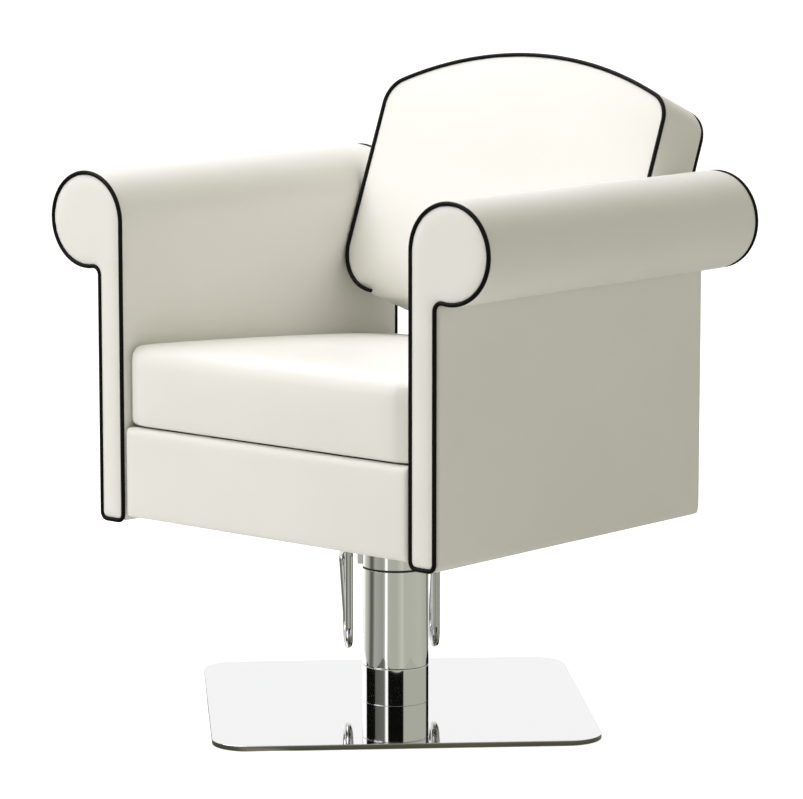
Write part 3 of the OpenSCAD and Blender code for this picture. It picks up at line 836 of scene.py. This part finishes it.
def facing(side, name, node, outward):
    """Shaped end panel inside the piping; outward = -1 front, 1 rear."""
    inset = piping_radius * 1.3
    edge_y = arm_front + seam_depth if outward < 0 else arm_rear - seam_depth
    outline = arm_outline(inset)
    face = drawn_face(name, outline, lambda x, z: (side * x, edge_y, z))
    push(face, (0, -outward * 0.0045, 0))
    remesh(face, 0.0035)
    seam = seam_gap(outline)
    for vertex in face.data.vertices:
        if (vertex.co.y - edge_y + outward * 0.002) * outward < 0:
            continue
        gap = seam(abs(vertex.co.x), vertex.co.z)
        rise = 1 - (1 - min(1, gap / 0.020)) ** 2.4
        vertex.co.y += outward * (0.0040 * rise - 0.0004)
    refine(face)
    wear(face, vinyl)
    stand_for(face, "seat", "cream_vinyl", node)


for side, hand in ((1, "right"), (-1, "left")):
    arm_wrap(side, f"arm_wrap_{hand}", f"arm_cover_{hand}")
    side_panel(side, f"arm_panel_{hand}")
    facing(side, f"arm_front_facing_{hand}", f"front_facing_{hand}", -1)
    facing(side, f"arm_rear_facing_{hand}", f"rear_facing_{hand}", 1)
    front_run = [(side * x, arm_front + piping_radius, z) for x, z in arm_outline(piping_radius)]
    piped(f"arm_front_piping_{hand}", front_run, True, f"front_piping_{hand}")
    round_roll = arc((roll_x, roll_z), roll_radius - piping_radius, -106, 180, 48)
    down = [(arm_low.x + piping_radius, roll_z + (arm_low.z + piping_radius - roll_z) * i / 20)
            for i in range(1, 21)]
    rear_run = [(side * x, arm_rear - piping_radius, z) for x, z in round_roll + down]
    piped(f"arm_rear_piping_{hand}", rear_run, False, f"rear_piping_{hand}")


# ---- Back ----
# A raked foam pad on a plywood board: a crowned front panel and a boxed edge in one
# cover, a flat rear panel, and black piping round the front and rear seams. The pad
# rolls under along its lower edge, where the front piping stops.
back_lean = math.radians(21.8)
back_y = 0.1933
back_z = 0.6372
back_thick = 0.103
back_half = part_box("back_pad")[1].x
back_rise = 0.307
back_drop = 0.0755
back_corner = 0.045
back_low_corner = 0.075
arch_radius = 0.600
on_back = Matrix(((1, 0, 0, 0),
                  (0, math.sin(back_lean), -math.cos(back_lean), back_y),
                  (0, math.cos(back_lean), math.sin(back_lean), back_z),
                  (0, 0, 0, 1)))


def back_outline(inset, first=270):
    """The back seen square on, drawn in by inset, from one lower corner to the other."""
    half, corner, low = back_half - inset, back_corner - inset, back_low_corner - inset
    big = arch_radius - inset
    arch_z = back_rise - arch_radius
    corner_z = arch_z + math.sqrt((big - corner) ** 2 - (half - corner) ** 2)
    turn = math.degrees(math.atan2(corner_z - arch_z, half - corner))
    low_z = back_low_corner - back_drop
    edge = [(half, low_z + (corner_z - low_z) * i / 16) for i in range(1, 16)]
    right = (arc((half - low, low_z), low, first, 360, 16) + edge
             + arc((half - corner, corner_z), corner, 0, turn, 12)
             + arc((0, arch_z), big, turn, 90, 24)[1:])
    return right + [(-a, b) for a, b in reversed(right[:-1])]


pad = drawn_face("back_cushion_cover", back_outline(0.0), lambda a, b: (a, b, -seam_depth))
push(pad, (0, 0, -(back_thick - 2 * seam_depth)))
remesh(pad, 0.005)
pad_seam = seam_gap(back_outline(0.0))
for vertex in pad.data.vertices:
    a, b, h = vertex.co
    gap = pad_seam(a, b)
    belly = max(0, 1 - (b + back_drop) / 0.030)
    if h > -0.012:
        dome = (1 - (a / back_half) ** 4) * min(1, gap / 0.10) ** 0.7
        vertex.co.z += 0.0055 * dome
        near_seam = max(0, 1 - gap / 0.007)
        vertex.co.z -= 0.0022 * near_seam ** 2
    if belly > 0 and abs(a) < back_half - 0.045:
        under = 0.022 * (1 - math.sqrt(max(0, 1 - min(1, belly) ** 2)))
        if h > -0.030:
            vertex.co.z -= under * (1 + h / 0.030)
fill_with_foam(pad, lambda p: 0.0 if p.z > -0.010 and pad_seam(p.x, p.y) > 0.010 else 1.0,
               3.0, 0.007)
pad.data.transform(on_back)
wear(pad, vinyl)
stand_for(pad, "seat", "cream_vinyl", "back_pad")

rear_line = back_outline(piping_radius * 1.3)
rear_panel = drawn_face("back_rear_panel", rear_line, lambda a, b: (a, b, -(back_thick - 0.0085)))
push(rear_panel, (0, 0, -0.0055))
remesh(rear_panel, 0.005)
panel_seam = seam_gap(rear_line)
for vertex in rear_panel.data.vertices:
    if vertex.co.z < -(back_thick - 0.0055):
        gap = panel_seam(vertex.co.x, vertex.co.y)
        vertex.co.z -= 0.0030 * (1 - (1 - min(1, gap / 0.06)) ** 2) - 0.0004
refine(rear_panel)
rear_panel.data.transform(on_back)
wear(rear_panel, vinyl)
stand_for(rear_panel, "seat", "cream_vinyl", "back_shell")

front_seam = [on_back @ Vector((a, b, -piping_radius)) for a, b in back_outline(piping_radius, 274)]
piped("back_front_piping_run", front_seam, False, "back_front_piping")
rear_seam = [on_back @ Vector((a, b, -(back_thick - piping_radius)))
             for a, b in back_outline(piping_radius, 270)]
piped("back_rear_piping_run", rear_seam, True, "back_rear_piping")


# ---- Hidden hardware and frame ----
# What holds the chair together under the covers keeps its own shape and gets its
# finish: ground and zinc-plated steel, powder coat, bronze, nylon, beech and cloth.
def ground_steel(name, colour, along):
    """Steel with fine turning or grinding lines across one axis."""
    material, nodes, links, shader = blank_finish(name, colour, 0.3, 1.0)
    lines = pattern(nodes, links, "ShaderNodeTexNoise", 60, 6, along)
    vary(nodes, links, lines.outputs["Fac"], 0.2, 0.42, shader.inputs["Roughness"])
    links.new(relief(nodes, links, lines.outputs["Fac"], 0.25, 0.0001), shader.inputs["Normal"])
    return material


def speckled(name, low, high, roughness, scale, strength, distance, metallic=0.0):
    """A finish whose colour wanders between two tones over a fine rough skin."""
    material, nodes, links, shader = blank_finish(name, low, roughness, metallic)
    grain = pattern(nodes, links, "ShaderNodeTexNoise", scale, 5)
    two_tone(nodes, links, grain.outputs["Fac"], shader, (0.35, low), (0.65, high))
    links.new(relief(nodes, links, grain.outputs["Fac"], strength, distance), shader.inputs["Normal"])
    return material


def beech():
    material, nodes, links, shader = blank_finish("hardwood", (0.52, 0.36, 0.21), 0.55)
    grain = pattern(nodes, links, "ShaderNodeTexNoise", 4, 8, (3, 3, 40))
    grain.inputs["Distortion"].default_value = 0.6
    two_tone(nodes, links, grain.outputs["Fac"], shader,
             (0.32, (0.34, 0.21, 0.11)), (0.62, (0.60, 0.43, 0.26)))
    links.new(relief(nodes, links, grain.outputs["Fac"], 0.3, 0.0003), shader.inputs["Normal"])
    return material


def woven(name, thread, gap, pitch):
    """Plain weave: threads crossing at a fixed pitch."""
    material, nodes, links, shader = blank_finish(name, thread, 0.85)
    across = pattern(nodes, links, "ShaderNodeTexWave", 0.314 / pitch)
    across.bands_direction = "X"
    along = pattern(nodes, links, "ShaderNodeTexWave", 0.314 / pitch)
    along.bands_direction = "Y"
    weave = nodes.new("ShaderNodeMath")
    weave.operation = "MULTIPLY"
    links.new(across.outputs["Fac"], weave.inputs[0])
    links.new(along.outputs["Fac"], weave.inputs[1])
    two_tone(nodes, links, weave.outputs[0], shader, (0, gap), (1, thread))
    links.new(relief(nodes, links, weave.outputs[0], 0.5, 0.0004), shader.inputs["Normal"])
    return material


bright_steel = ground_steel("bright_steel", (0.62, 0.62, 0.63), (1, 1, 30))
zinc_steel = ground_steel("zinc_steel", (0.60, 0.60, 0.57), (6, 6, 6))
powder_coat = speckled("black_steel", (0.020, 0.020, 0.022), (0.032, 0.032, 0.034),
                       0.48, 600, 0.35, 0.0002)
nylon = speckled("nylon", (0.74, 0.72, 0.63), (0.80, 0.78, 0.70), 0.42, 40, 0.1, 0.0001)
bronze = speckled("bronze", (0.52, 0.35, 0.15), (0.62, 0.44, 0.21), 0.34, 180, 0.25, 0.0001, 1.0)
hardwood = beech()
strap_web = woven("strap_web", (0.075, 0.075, 0.078), (0.020, 0.020, 0.020), 0.0022)
dust_cloth = woven("dust_cloth", (0.74, 0.73, 0.67), (0.52, 0.51, 0.46), 0.0012)
for finish, nodes in (
        (rubber, ("base_pad", "piston_seal", "wiper_ring", "brake_pad")),
        (chrome, ("pump_head",)),
        (bright_steel, ("guide_tube", "ram", "ram_piston", "oil_barrel", "kingpin", "lever_shaft",
                        "pump_plunger", "brake_pin")),
        (zinc_steel, ("base_screws", "kingpin_nut", "shaft_clips", "lever_springs", "swivel_disc",
                      "mount_bolts", "arm_bolts", "back_bolts")),
        (powder_coat, ("mount_plate", "back_brackets")),
        (nylon, ("guide_bushes",)),
        (bronze, ("gland_nut", "thrust_washer")),
        (hardwood, ("cross_bars", "seat_frame", "arm_core_left", "arm_core_right", "back_board")),
        (strap_web, ("webbing",)),
        (dust_cloth, ("dust_cover",))):
    for node in nodes:
        wear(bpy.data.objects[node], finish)
